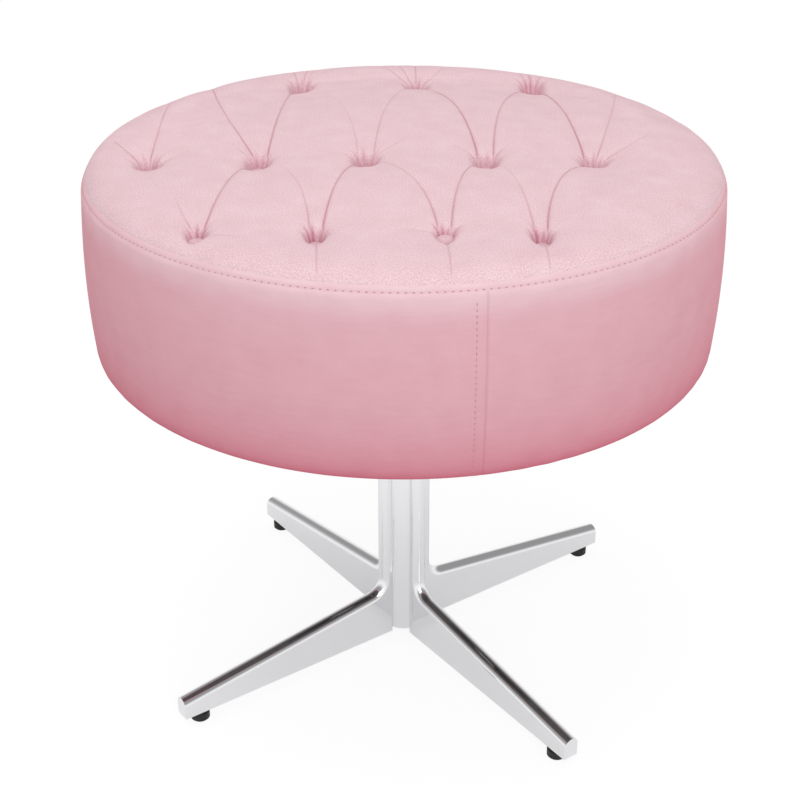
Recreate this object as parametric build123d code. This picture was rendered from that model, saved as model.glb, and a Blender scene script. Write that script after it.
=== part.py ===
from build123d import *
import os
from math import atan, cos, hypot, radians, sin, sqrt, tan

# Seat outside, in mm, with the floor at Z = 0 and the swivel axis on Z
SEAT_RADIUS = 250.0
SEAT_UNDERSIDE = 300.0
SEAT_DEPTH = 153.0
CROWN_RISE = 9.0
SIDE_DRAW_IN = 4.0
SHOULDER_RADIUS = 18.0
LOWER_EDGE_RADIUS = 14.0
SEAM_INSET = 6.0
HEM_WIDTH = 30.0
BAND_SEAM_AZIMUTH = -77.5
BAND_SEAM_GAP = 0.5

# Upholstery layers
COVER_THICKNESS = 1.6
LAYER_CLEARANCE = 0.35
TOP_FOAM_THICKNESS = 52.0
SIDE_FOAM_THICKNESS = 9.0
DUST_COVER_THICKNESS = 0.8

# Tufts: how far the outer rows stand back from the rim seam, and each row's places as parts of its half chord
BACK_ROW_SETBACK = 65.0
MIDDLE_ROW_SHIFT = -30.0
FRONT_ROW_SETBACK = 72.0
BACK_ROW_SPREAD = (-0.546, 0.066, 0.676)
MIDDLE_ROW_SPREAD = (-0.80, -0.455, -0.12, 0.256, 0.593)
FRONT_ROW_SPREAD = (-0.81, -0.345, 0.16, 0.537)
TUFT_DEPTH = 15.0
TUFT_THROAT = 8.5
TUFT_FLARE = 11.0
TUFT_LIP_ANGLE = 14.0
PLEAT_DEPTH = 4.2
PLEAT_HALF_ANGLE = 60.0
PLEAT_RIM_MARGIN = 14.0
BUTTON_RADIUS = 7.5
BUTTON_RIM = 1.4
BUTTON_DOME = 3.6
TWINE_RADIUS = 0.8
TWINE_KNOT_RADIUS = 2.2
TWINE_HOLE_CLEARANCE = 0.5
TWINE_WASHER_RADIUS = 8.0
TWINE_WASHER_THICKNESS = 2.0

# Wooden drum inside the seat
TOP_BOARD_THICKNESS = 12.0
BOTTOM_BOARD_THICKNESS = 15.0
SKIN_THICKNESS = 3.0
POST_COUNT = 6
POST_WIDTH = 45.0
POST_DEPTH = 25.0
POST_EDGE_MARGIN = 6.0
SCREW_RADIUS = 2.0
SCREW_HEAD_RADIUS = 4.0
SCREW_LENGTH = 38.0
SCREW_SPACING = 24.0
FIT_CLEARANCE = 0.05

# Swivel plate and its fasteners
PLATE_SIZE = 150.0
PLATE_THICKNESS = 4.0
PLATE_CORNER = 14.0
PLATE_HOLE_SPACING = 115.0
BOLT_RADIUS = 3.0
BOLT_HOLE_CLEARANCE = 0.3
BOLT_HEAD_ACROSS_FLATS = 10.0
BOLT_HEAD_HEIGHT = 4.0
BOLT_WASHER_RADIUS = 6.0
BOLT_WASHER_THICKNESS = 1.6
TEE_NUT_BARREL_RADIUS = 4.4
TEE_NUT_BARREL_LENGTH = 11.0
TEE_NUT_FLANGE_RADIUS = 9.5
TEE_NUT_FLANGE_THICKNESS = 1.5

# Swivel bearing
SPINDLE_RADIUS = 12.5
SPINDLE_LENGTH = 150.0
RUNNING_CLEARANCE = 0.08
BALL_RADIUS = 3.2
BALL_COUNT = 12
BALL_CIRCLE_RADIUS = 16.9
RACE_OUTER_RADIUS = 21.0
RACE_THICKNESS = 3.2
RACE_GROOVE_DEPTH = 0.9
CAGE_THICKNESS = 2.6
CAGE_HALF_WIDTH = 4.0
BUSH_LENGTH = 30.0
BUSH_FLANGE_THICKNESS = 4.0
CLIP_THICKNESS = 1.5
CLIP_GROOVE_DEPTH = 1.1
CLIP_OUTER_RADIUS = 15.0
CLIP_OPENING = 9.0
CLIP_END_MARGIN = 6.0
THRUST_WASHER_THICKNESS = 1.5

# Column and legs
LEG_AZIMUTH = 35.9
TUBE_RADIUS = 19.0
TUBE_WALL = 2.0
TUBE_BOTTOM = 14.0
PLUG_HEAD = 2.0
PLUG_SKIRT = 10.0
PLUG_WALL = 2.5
WELD_CLEARANCE = 0.05
LEG_REACH = 228.0
LEG_WIDTH = 13.5
LEG_WALL = 2.0
LEG_UNDERSIDE = 9.5
LEG_TIP_HEIGHT = 27.5
LEG_ROOT_HEIGHT = 55.0
LEG_BEND_RADIUS = 14.0
LEG_CROWN_RADIUS = 7.0
ARM_NOSE_RADIUS = 26.0
ARM_FLANGE_MARGIN = 0.5

# Levelling glides
GLIDE_INBOARD = 16.5
GLIDE_RADIUS = 8.0
GLIDE_EDGE = 1.6
GLIDE_STOP_GAP = 0.3
STUD_RADIUS = 3.0
STUD_LENGTH = 15.0
STUD_SEAT = 5.0
GLIDE_NUT_LENGTH = 14.0
GLIDE_NUT_HEIGHT = 9.0
GLIDE_NUT_LIFT = 2.0

# Levels and radii that follow from the sizes above
RIM = SEAT_UNDERSIDE + SEAT_DEPTH
RIM_RADIUS = SEAT_RADIUS - SIDE_DRAW_IN
CROWN_TOP = RIM + CROWN_RISE
CROWN_SPHERE = (RIM_RADIUS**2 + CROWN_RISE**2) / (2 * CROWN_RISE)
SEAM_RADIUS = SEAT_RADIUS - SEAM_INSET
HEM_RADIUS = RIM_RADIUS - HEM_WIDTH
FOAM_INSET = COVER_THICKNESS + LAYER_CLEARANCE
SKIN_RADIUS = RIM_RADIUS - FOAM_INSET - SIDE_FOAM_THICKNESS
BOARD_RADIUS = SKIN_RADIUS - SKIN_THICKNESS
BOTTOM_BOARD_LOW = SEAT_UNDERSIDE + FOAM_INSET
BOTTOM_BOARD_TOP = BOTTOM_BOARD_LOW + BOTTOM_BOARD_THICKNESS
TOP_BOARD_TOP = RIM - FOAM_INSET - TOP_FOAM_THICKNESS
TOP_BOARD_LOW = TOP_BOARD_TOP - TOP_BOARD_THICKNESS
DUST_LOW = BOTTOM_BOARD_LOW - FIT_CLEARANCE - DUST_COVER_THICKNESS
PLATE_TOP = DUST_LOW - FIT_CLEARANCE
PLATE_LOW = PLATE_TOP - PLATE_THICKNESS
UPPER_RACE_LOW = PLATE_LOW - FIT_CLEARANCE - RACE_THICKNESS
BALL_LEVEL = UPPER_RACE_LOW + RACE_GROOVE_DEPTH - RUNNING_CLEARANCE - BALL_RADIUS
LOWER_RACE_TOP = BALL_LEVEL - BALL_RADIUS - RUNNING_CLEARANCE + RACE_GROOVE_DEPTH
LOWER_RACE_LOW = LOWER_RACE_TOP - RACE_THICKNESS
FLANGE_LOW = LOWER_RACE_LOW - FIT_CLEARANCE - BUSH_FLANGE_THICKNESS
COLUMN_TOP = FLANGE_LOW - FIT_CLEARANCE
TUBE_BORE = TUBE_RADIUS - TUBE_WALL
SPINDLE_LOW = PLATE_TOP - SPINDLE_LENGTH
CLIP_LOW = SPINDLE_LOW + CLIP_END_MARGIN
WASHER_LOW = CLIP_LOW + CLIP_THICKNESS + FIT_CLEARANCE
LOWER_BUSH_LOW = WASHER_LOW + THRUST_WASHER_THICKNESS + FIT_CLEARANCE
POST_CIRCLE = BOARD_RADIUS - POST_EDGE_MARGIN - POST_DEPTH / 2
GLIDE_CIRCLE = LEG_REACH - GLIDE_INBOARD
PAD_TOP = LEG_UNDERSIDE - GLIDE_STOP_GAP

LEG_NAMES = {
    "back_right": LEG_AZIMUTH,
    "back_left": LEG_AZIMUTH + 90,
    "front_left": LEG_AZIMUTH + 180,
    "front_right": LEG_AZIMUTH + 270,
}


def ring(outer, inner, low, high):
    """A plain ring about the swivel axis between two levels."""
    body = Pos(0, 0, (low + high) / 2) * Cylinder(outer, high - low)
    return body - Pos(0, 0, (low + high) / 2) * Cylinder(inner, high - low + 2)


def disc(radius, low, high):
    """A plain disc about the swivel axis between two levels."""
    return Pos(0, 0, (low + high) / 2) * Cylinder(radius, high - low)


def revolved(points):
    """Turns a closed outline of radius and height points about Z."""
    return revolve(make_face(Plane.XZ * Polyline(*points, close=True)), Axis.Z)


def crown_level(x, y):
    """Height of the plain crowned top above a point."""
    return CROWN_TOP - CROWN_SPHERE + sqrt(CROWN_SPHERE**2 - x**2 - y**2)


def seat_body(inset):
    """The whole seat's padded form, drawn in by a layer's depth: crown, round shoulder, bulging side, round lower edge."""
    low = SEAT_UNDERSIDE + inset
    rim = RIM - inset
    edge = RIM_RADIUS - inset
    half = edge / 2
    sphere = (edge**2 + CROWN_RISE**2) / (2 * CROWN_RISE)
    half_level = rim + CROWN_RISE - sphere + sqrt(sphere**2 - half**2)
    outline = Line((0, low), (edge, low))
    outline += ThreePointArc((edge, low), (SEAT_RADIUS - inset, (low + rim) / 2), (edge, rim))
    outline += ThreePointArc((edge, rim), (half, half_level), (0, rim + CROWN_RISE))
    outline += Line((0, rim + CROWN_RISE), (0, low))
    face = make_face(outline)
    face = fillet(face.vertices().group_by(Axis.X)[-1].sort_by(Axis.Y)[0], LOWER_EDGE_RADIUS - inset)
    face = fillet(face.vertices().filter_by(lambda v: v.X > 1).sort_by(Axis.Y)[-1], SHOULDER_RADIUS - inset)
    return revolve(Plane.XZ * face, Axis.Z)


def row_points(back, spread):
    """Button places of one row of tufts across the seat."""
    half_chord = sqrt(SEAM_RADIUS**2 - back**2)
    return [(part * half_chord, back) for part in spread]


def back_row():
    """Button places of the back row."""
    return row_points(SEAM_RADIUS - BACK_ROW_SETBACK, BACK_ROW_SPREAD)


def middle_row():
    """Button places of the middle row."""
    return row_points(MIDDLE_ROW_SHIFT, MIDDLE_ROW_SPREAD)


def front_row():
    """Button places of the front row."""
    return row_points(FRONT_ROW_SETBACK - SEAM_RADIUS, FRONT_ROW_SPREAD)


def tuft_points():
    """All button places, back row first."""
    return back_row() + middle_row() + front_row()


def tuft_floor(x, y):
    """Height of the bottom of a tuft's dimple on the outside of the cover."""
    return crown_level(x, y) - TUFT_DEPTH


def dimple_cutter(x, y, inset):
    """The trumpet-shaped hollow that a button pulls into the padding, widened by a layer's depth."""
    surface = crown_level(x, y)
    lean = radians(TUFT_LIP_ANGLE)
    throat = TUFT_THROAT + inset
    bend = TUFT_FLARE - inset
    middle = (TUFT_THROAT + TUFT_FLARE, surface - TUFT_FLARE * cos(lean))
    half = (radians(90) - lean) / 2
    waist = (middle[0] - bend * cos(half), middle[1] + bend * sin(half))
    brim = (middle[0] - bend * sin(lean), middle[1] + bend * cos(lean))
    reach = TUFT_FLARE
    lip = (brim[0] + reach * cos(lean), brim[1] + reach * sin(lean))
    above = surface + TUFT_DEPTH
    floor = tuft_floor(x, y) - inset
    outline = Line((0, floor), (throat, floor))
    outline += Line((throat, floor), (throat, middle[1]))
    outline += ThreePointArc((throat, middle[1]), waist, brim)
    outline += Polyline(brim, lip, (lip[0], above), (0, above), (0, floor))
    return Pos(x, y, 0) * revolve(Plane.XZ * make_face(outline), Axis.Z)


def pleat_cutter(start, end, inset):
    """A V-shaped crease cut along a straight line, its sides moved out by a layer's depth."""
    lean = radians(PLEAT_HALF_ANGLE)
    drop = inset / sin(lean)
    first = Vector(*start) - Vector(0, 0, drop)
    run = Vector(*end) - Vector(*start)
    across = Vector(0, 0, 1).cross(run)
    plane = Plane(origin=first, x_dir=across, z_dir=run)
    rise = TUFT_DEPTH
    wide = rise * tan(lean)
    section = make_face(Polyline((0, 0), (wide, rise), (-wide, rise), close=True))
    return extrude(plane * section, run.length)


def pleat_foot(x, y):
    """The point under a button place that its creases start from."""
    return (x, y, crown_level(x, y) - PLEAT_DEPTH)


def rim_foot(x, y, azimuth):
    """The point where a crease that runs from a button to the rim comes up to the surface."""
    reach = SEAM_RADIUS - PLEAT_RIM_MARGIN
    along = (cos(radians(azimuth)), sin(radians(azimuth)))
    dot = x * along[0] + y * along[1]
    run = -dot + sqrt(dot**2 - x**2 - y**2 + reach**2)
    end = (x + run * along[0], y + run * along[1])
    return (*end, crown_level(*end) + 0.5)


def pleat_lines():
    """Start and end of every crease: diamonds between neighbouring rows, and single creases out to the rim."""
    middle = middle_row()
    lines = []
    inner = SEAM_RADIUS - PLEAT_RIM_MARGIN - 2 * TUFT_THROAT
    for x, y in back_row() + front_row():
        for other in sorted(middle, key=lambda p: abs(p[0] - x))[:2]:
            lines.append((pleat_foot(x, y), pleat_foot(*other)))
        if hypot(x, y) < inner:
            lines.append((pleat_foot(x, y), rim_foot(x, y, 90 if y > 0 else -90)))
    outward = [(middle[0], 180), (middle[0], 91), (middle[1], 107), (middle[-1], 46), (middle[-1], 78)]
    for place, azimuth in outward:
        lines.append((pleat_foot(*place), rim_foot(*place, azimuth)))
    return lines


def tufted_body(inset):
    """The padded form with its button dimples and its pleat creases."""
    cutters = [dimple_cutter(x, y, inset) for x, y in tuft_points()]
    cutters += [pleat_cutter(start, end, inset) for start, end in pleat_lines()]
    return seat_body(inset) - cutters


def twine_holes(low, high):
    """Needle holes for the twines between two levels."""
    radius = TWINE_RADIUS + TWINE_HOLE_CLEARANCE
    return [Pos(x, y, (low + high) / 2) * Cylinder(radius, high - low) for x, y in tuft_points()]


def top_cover():
    """The sewn top panel, drawn down into each tuft."""
    outer = tufted_body(0) & disc(SEAM_RADIUS, TOP_BOARD_TOP, CROWN_TOP + 1)
    return outer - tufted_body(COVER_THICKNESS) - twine_holes(TOP_BOARD_LOW, CROWN_TOP)


def side_band():
    """The band round the side, hemmed under the drum, its two ends meeting at one upright seam."""
    band = seat_body(0) - seat_body(COVER_THICKNESS)
    band -= disc(SEAM_RADIUS + LAYER_CLEARANCE, TOP_BOARD_LOW, CROWN_TOP + 1)
    band -= disc(HEM_RADIUS, SEAT_UNDERSIDE - 1, TOP_BOARD_LOW + 1)
    middle = (SEAT_UNDERSIDE + RIM) / 2
    slit = Pos(SEAT_RADIUS, 0, middle) * Box(2 * HEM_WIDTH + SEAT_RADIUS, BAND_SEAM_GAP, 2 * SEAT_DEPTH)
    return band - Rot(0, 0, BAND_SEAM_AZIMUTH) * slit


def top_foam():
    """The thick top pad, dimpled and creased like the cover over it and pierced for the twines."""
    pad = tufted_body(FOAM_INSET) & disc(SEAT_RADIUS, TOP_BOARD_TOP + FIT_CLEARANCE, CROWN_TOP)
    return pad - twine_holes(TOP_BOARD_LOW, CROWN_TOP)


def side_foam():
    """The thin pad wrapped round the drum under the band."""
    wrap = seat_body(FOAM_INSET) - disc(SKIN_RADIUS + FIT_CLEARANCE, SEAT_UNDERSIDE, CROWN_TOP)
    return wrap & disc(SEAT_RADIUS, SEAT_UNDERSIDE, TOP_BOARD_TOP - LAYER_CLEARANCE)


def tuft_buttons():
    """Covered buttons with a short rim and a domed top."""
    outline = Line((0, 0), (BUTTON_RADIUS, 0)) + Line((BUTTON_RADIUS, 0), (BUTTON_RADIUS, BUTTON_RIM))
    high = BUTTON_RIM + BUTTON_DOME
    sphere = (BUTTON_RADIUS**2 + BUTTON_DOME**2) / (2 * BUTTON_DOME)
    half = BUTTON_RADIUS / 2
    half_level = high - sphere + sqrt(sphere**2 - half**2)
    outline += ThreePointArc((BUTTON_RADIUS, BUTTON_RIM), (half, half_level), (0, high))
    outline += Line((0, high), (0, 0))
    button = revolve(Plane.XZ * make_face(outline), Axis.Z)
    return [Pos(x, y, tuft_floor(x, y) + FIT_CLEARANCE) * button for x, y in tuft_points()]


def tuft_twines():
    """Upholstery twine from each button to a knot under the top board."""
    knot_level = TOP_BOARD_LOW - FIT_CLEARANCE - TWINE_WASHER_THICKNESS - FIT_CLEARANCE - TWINE_KNOT_RADIUS
    twines = []
    for x, y in tuft_points():
        high = tuft_floor(x, y)
        line = Pos(x, y, (knot_level + high) / 2) * Cylinder(TWINE_RADIUS, high - knot_level)
        twines.append(line + Pos(x, y, knot_level) * Sphere(TWINE_KNOT_RADIUS))
    return twines


def twine_washers():
    """Fibre washers that spread each twine's pull under the top board."""
    high = TOP_BOARD_LOW - FIT_CLEARANCE
    one = ring(TWINE_WASHER_RADIUS, TWINE_RADIUS + TWINE_HOLE_CLEARANCE, high - TWINE_WASHER_THICKNESS, high)
    return [Pos(x, y, 0) * one for x, y in tuft_points()]


def post_places():
    """Locations of the posts round the drum."""
    step = 360 / POST_COUNT
    return [Rot(0, 0, step * (i + 0.5)) * Pos(POST_CIRCLE, 0, 0) for i in range(POST_COUNT)]


def screw_form(grow):
    """A countersunk wood screw with its head at Z = 0, pointing down; grown all round for its hole."""
    shank = SCREW_RADIUS + grow
    head = SCREW_HEAD_RADIUS + grow
    low = -SCREW_LENGTH - grow
    sink = head - shank
    return revolved([(0, 0), (head, 0), (shank, -sink), (shank, low + shank), (0, low)])


def screw_set(grow):
    """Two screws down into each post through the top board and two up through the bottom board."""
    screws = []
    for place in post_places():
        for side in (-SCREW_SPACING / 2, SCREW_SPACING / 2):
            screws.append(place * Pos(0, side, TOP_BOARD_TOP) * screw_form(grow))
            screws.append(place * Pos(0, side, BOTTOM_BOARD_LOW) * Rot(180, 0, 0) * screw_form(grow))
    return screws


def frame_posts():
    """Short wooden posts that hold the two boards apart."""
    low = BOTTOM_BOARD_TOP + FIT_CLEARANCE
    high = TOP_BOARD_LOW - FIT_CLEARANCE
    post = Pos(0, 0, (low + high) / 2) * Box(POST_DEPTH, POST_WIDTH, high - low)
    holes = screw_set(FIT_CLEARANCE)
    posts = []
    for i, place in enumerate(post_places()):
        posts.append(place * post - holes[4 * i:4 * i + 4])
    return posts


def plate_places():
    """Locations of the four bolts of the swivel plate."""
    half = PLATE_HOLE_SPACING / 2
    return [Pos(x, y, 0) for x in (-half, half) for y in (-half, half)]


def top_board():
    """Plywood disc under the top pad, drilled for the twines."""
    board = disc(BOARD_RADIUS, TOP_BOARD_LOW, TOP_BOARD_TOP)
    return board - twine_holes(TOP_BOARD_LOW - 1, TOP_BOARD_TOP + 1) - screw_set(FIT_CLEARANCE)


def bottom_board():
    """Plywood disc that carries the swivel plate, bored for the tee nuts."""
    board = disc(BOARD_RADIUS, BOTTOM_BOARD_LOW, BOTTOM_BOARD_TOP)
    bore = disc(TEE_NUT_BARREL_RADIUS + FIT_CLEARANCE, BOTTOM_BOARD_LOW - 1, BOTTOM_BOARD_TOP + 1)
    return board - [place * bore for place in plate_places()] - screw_set(FIT_CLEARANCE)


def side_skin():
    """Hardboard sheet bent round the boards and posts."""
    skin = ring(SKIN_RADIUS, BOARD_RADIUS + FIT_CLEARANCE, BOTTOM_BOARD_LOW, TOP_BOARD_TOP)
    middle = (BOTTOM_BOARD_LOW + TOP_BOARD_TOP) / 2
    joint = Pos(0, SKIN_RADIUS, middle) * Box(1, 6 * SKIN_THICKNESS, 2 * SEAT_DEPTH)
    return skin - joint


def bolt_hole(low, high):
    """Clearance holes of the four plate bolts between two levels."""
    return [place * disc(BOLT_RADIUS + BOLT_HOLE_CLEARANCE, low, high) for place in plate_places()]


def dust_cover():
    """Thin black cloth that closes the underside inside the hem."""
    cloth = disc(HEM_RADIUS - LAYER_CLEARANCE, DUST_LOW, DUST_LOW + DUST_COVER_THICKNESS)
    return cloth - bolt_hole(DUST_LOW - 1, BOTTOM_BOARD_LOW)


def swivel_plate():
    """Pressed steel plate with round corners, four bolt holes and a hole for the spindle."""
    outline = RectangleRounded(PLATE_SIZE, PLATE_SIZE, PLATE_CORNER)
    plate = Pos(0, 0, PLATE_LOW) * extrude(outline, PLATE_THICKNESS)
    plate -= disc(SPINDLE_RADIUS + FIT_CLEARANCE, PLATE_LOW - 1, PLATE_TOP + 1)
    return plate - bolt_hole(PLATE_LOW - 1, PLATE_TOP + 1)


def plate_washers():
    """Flat washers under the bolt heads."""
    high = PLATE_LOW - FIT_CLEARANCE
    one = ring(BOLT_WASHER_RADIUS, BOLT_RADIUS + BOLT_HOLE_CLEARANCE, high - BOLT_WASHER_THICKNESS, high)
    return [place * one for place in plate_places()]


def plate_bolts():
    """Hexagon bolts from below, through the plate into the tee nuts."""
    seat = PLATE_LOW - 2 * FIT_CLEARANCE - BOLT_WASHER_THICKNESS
    head = extrude(RegularPolygon(BOLT_HEAD_ACROSS_FLATS / 2, 6, major_radius=False), BOLT_HEAD_HEIGHT)
    tip = BOTTOM_BOARD_TOP + TEE_NUT_FLANGE_THICKNESS
    bolt = Pos(0, 0, seat - BOLT_HEAD_HEIGHT) * head + disc(BOLT_RADIUS, seat - 1, tip)
    return [place * bolt for place in plate_places()]


def tee_nuts():
    """Flanged tee nuts let into the bottom board from above."""
    flange_low = BOTTOM_BOARD_TOP + FIT_CLEARANCE
    flange = disc(TEE_NUT_FLANGE_RADIUS, flange_low, flange_low + TEE_NUT_FLANGE_THICKNESS)
    barrel = disc(TEE_NUT_BARREL_RADIUS, BOTTOM_BOARD_TOP - TEE_NUT_BARREL_LENGTH, flange_low + 0.5)
    thread = disc(BOLT_RADIUS + FIT_CLEARANCE, BOTTOM_BOARD_LOW - 1, BOTTOM_BOARD_TOP + 5)
    return [place * (flange + barrel - thread) for place in plate_places()]


def spindle():
    """Turned steel shaft welded into the plate, grooved near its lower end for the clip."""
    chamfer_size = 1.5
    foot = SPINDLE_RADIUS - chamfer_size
    groove = SPINDLE_RADIUS - CLIP_GROOVE_DEPTH
    low = CLIP_LOW - FIT_CLEARANCE
    high = CLIP_LOW + CLIP_THICKNESS + FIT_CLEARANCE
    return revolved([
        (0, SPINDLE_LOW), (foot, SPINDLE_LOW), (SPINDLE_RADIUS, SPINDLE_LOW + chamfer_size),
        (SPINDLE_RADIUS, low), (groove, low), (groove, high), (SPINDLE_RADIUS, high),
        (SPINDLE_RADIUS, PLATE_TOP), (0, PLATE_TOP),
    ])


def retaining_clip():
    """Open spring clip in the spindle's groove."""
    inner = SPINDLE_RADIUS - CLIP_GROOVE_DEPTH + FIT_CLEARANCE
    clip = ring(CLIP_OUTER_RADIUS, inner, CLIP_LOW, CLIP_LOW + CLIP_THICKNESS)
    return clip - Pos(CLIP_OUTER_RADIUS, 0, CLIP_LOW) * Box(CLIP_OUTER_RADIUS, CLIP_OPENING, 4 * CLIP_THICKNESS)


def thrust_washer():
    """Steel washer between the lower bush and the clip."""
    inner = SPINDLE_RADIUS + FIT_CLEARANCE
    return ring(CLIP_OUTER_RADIUS, inner, WASHER_LOW, WASHER_LOW + THRUST_WASHER_THICKNESS)


def race_groove():
    """The ring-shaped track of the balls."""
    return Pos(0, 0, BALL_LEVEL) * Torus(BALL_CIRCLE_RADIUS, BALL_RADIUS + RUNNING_CLEARANCE)


def upper_race():
    """Race that turns with the plate."""
    inner = SPINDLE_RADIUS + FIT_CLEARANCE
    return ring(RACE_OUTER_RADIUS, inner, UPPER_RACE_LOW, UPPER_RACE_LOW + RACE_THICKNESS) - race_groove()


def lower_race():
    """Race that stays on the column."""
    inner = SPINDLE_RADIUS + RUNNING_CLEARANCE
    return ring(RACE_OUTER_RADIUS, inner, LOWER_RACE_LOW, LOWER_RACE_TOP) - race_groove()


def ball_places():
    """Locations of the balls on their circle."""
    step = 360 / BALL_COUNT
    return [Rot(0, 0, step * i) * Pos(BALL_CIRCLE_RADIUS, 0, BALL_LEVEL) for i in range(BALL_COUNT)]


def bearing_balls():
    """Balls that carry the seat's weight."""
    return [place * Sphere(BALL_RADIUS) for place in ball_places()]


def ball_cage():
    """Flat ring with a round pocket for each ball."""
    low = BALL_LEVEL - CAGE_THICKNESS / 2
    inner = max(BALL_CIRCLE_RADIUS - CAGE_HALF_WIDTH, SPINDLE_RADIUS + RUNNING_CLEARANCE)
    cage = ring(BALL_CIRCLE_RADIUS + CAGE_HALF_WIDTH, inner, low, low + CAGE_THICKNESS)
    pocket = Cylinder(BALL_RADIUS + RUNNING_CLEARANCE, 2 * CAGE_THICKNESS)
    return cage - [place * pocket for place in ball_places()]


def upper_bush():
    """Flanged nylon bush in the top of the column."""
    bush = ring(TUBE_BORE - FIT_CLEARANCE, SPINDLE_RADIUS + RUNNING_CLEARANCE, COLUMN_TOP - BUSH_LENGTH, FLANGE_LOW + 1)
    flange_high = FLANGE_LOW + BUSH_FLANGE_THICKNESS
    return bush + ring(ARM_NOSE_RADIUS + ARM_FLANGE_MARGIN, SPINDLE_RADIUS + RUNNING_CLEARANCE, FLANGE_LOW, flange_high)


def lower_bush():
    """Nylon bush that steadies the lower end of the spindle."""
    inner = SPINDLE_RADIUS + RUNNING_CLEARANCE
    return ring(TUBE_BORE - FIT_CLEARANCE, inner, LOWER_BUSH_LOW, LOWER_BUSH_LOW + BUSH_LENGTH)


def column_tube():
    """Round steel tube that the legs are welded to."""
    return ring(TUBE_RADIUS, TUBE_BORE, TUBE_BOTTOM, COLUMN_TOP)


def column_plug():
    """Plastic cup pushed into the tube's lower end, flush with it."""
    radius = TUBE_BORE - FIT_CLEARANCE
    floor = TUBE_BOTTOM + PLUG_HEAD
    cup = disc(radius, TUBE_BOTTOM, floor + PLUG_SKIRT)
    return cup - disc(radius - PLUG_WALL, floor, floor + PLUG_SKIRT + 1)


def leg_side(inset, tip, low):
    """A leg's side outline, drawn in from the ridge: an upright arm, a hollow bend, a sloping ridge; with its top line."""
    slope = atan((LEG_ROOT_HEIGHT - LEG_TIP_HEIGHT) / (LEG_REACH - ARM_NOSE_RADIUS))
    nose = ARM_NOSE_RADIUS - inset
    middle_x = ARM_NOSE_RADIUS + LEG_BEND_RADIUS
    middle_z = LEG_TIP_HEIGHT + (LEG_BEND_RADIUS - (middle_x - LEG_REACH) * sin(slope)) / cos(slope)
    bend = LEG_BEND_RADIUS + inset
    lean = (radians(90) - slope) / 2
    arc_mid = (middle_x - bend * cos(lean), middle_z - bend * sin(lean))
    arc_end = (middle_x - bend * sin(slope), middle_z - bend * cos(slope))
    tip_height = LEG_TIP_HEIGHT - (tip - LEG_REACH) * tan(slope) - inset / cos(slope)
    back = TUBE_RADIUS / 2
    top = Line((nose, COLUMN_TOP), (nose, middle_z))
    top += ThreePointArc((nose, middle_z), arc_mid, arc_end)
    top += Line(arc_end, (tip, tip_height))
    rest = Polyline((tip, tip_height), (tip, low), (back, low), (back, COLUMN_TOP), (nose, COLUMN_TOP))
    return make_face(top + rest), top


def leg_form(inset, low):
    """A leg's form drawn in by the wall: a bar of the side outline with an arched strip run along its top."""
    half = LEG_WIDTH / 2 - inset
    crown = LEG_CROWN_RADIUS - inset
    rise = crown - sqrt(crown**2 - half**2)
    side, top = leg_side(inset + rise, LEG_REACH + LEG_WIDTH, low)
    bar = extrude(Plane.XZ * side, half, both=True)
    arch = make_face(ThreePointArc((0, -half), (rise, 0), (0, half)) + Line((0, half), (0, -half)))
    start = Plane(origin=(ARM_NOSE_RADIUS - inset - rise, 0, COLUMN_TOP), x_dir=(1, 0, 0), z_dir=(0, 0, -1))
    form = bar + sweep(start * arch, path=Plane.XZ * top)
    return form - Pos(LEG_REACH - inset + LEG_WIDTH, 0, 0) * Box(2 * LEG_WIDTH, 2 * LEG_WIDTH, 2 * COLUMN_TOP)


def leg():
    """One leg along +X: a pressed steel channel, open below, closed at the tip and welded to the tube."""
    bore = disc(TUBE_RADIUS + WELD_CLEARANCE, 0, COLUMN_TOP + 1)
    return leg_form(0, LEG_UNDERSIDE) - leg_form(LEG_WALL, LEG_UNDERSIDE - 2) - bore


def glide_nuts():
    """Tapped blocks welded inside the leg tips for the glide studs."""
    width = LEG_WIDTH - 2 * LEG_WALL - 2 * WELD_CLEARANCE
    low = LEG_UNDERSIDE + GLIDE_NUT_LIFT
    block = Pos(0, 0, low + GLIDE_NUT_HEIGHT / 2) * Box(GLIDE_NUT_LENGTH, width, GLIDE_NUT_HEIGHT)
    block -= disc(STUD_RADIUS + RUNNING_CLEARANCE, 0, low + 2 * GLIDE_NUT_HEIGHT)
    return [Rot(0, 0, turn) * Pos(GLIDE_CIRCLE, 0, 0) * block for turn in LEG_NAMES.values()]


def glide_pad():
    """Round nylon foot, moulded on to its stud."""
    foot = revolved([
        (0, 0), (GLIDE_RADIUS - GLIDE_EDGE, 0), (GLIDE_RADIUS, GLIDE_EDGE),
        (GLIDE_RADIUS, PAD_TOP - GLIDE_EDGE), (GLIDE_RADIUS - GLIDE_EDGE, PAD_TOP), (0, PAD_TOP),
    ])
    return foot - disc(STUD_RADIUS + FIT_CLEARANCE, PAD_TOP - STUD_SEAT, PAD_TOP + 1)


def glide_stud():
    """Threaded stud of a glide."""
    low = PAD_TOP - STUD_SEAT + FIT_CLEARANCE
    high = PAD_TOP + STUD_LENGTH
    tip = STUD_RADIUS - 0.8
    return revolved([(0, low), (STUD_RADIUS, low), (STUD_RADIUS, high - 0.8), (tip, high), (0, high)])


def save(name, shape):
    """Writes one node, either a single solid or a group of solids."""
    if isinstance(shape, list):
        shape = Compound(children=[s.solid() for s in shape])
    export_step(shape, f"parts/{name}.step")


os.makedirs("parts", exist_ok=True)

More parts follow.
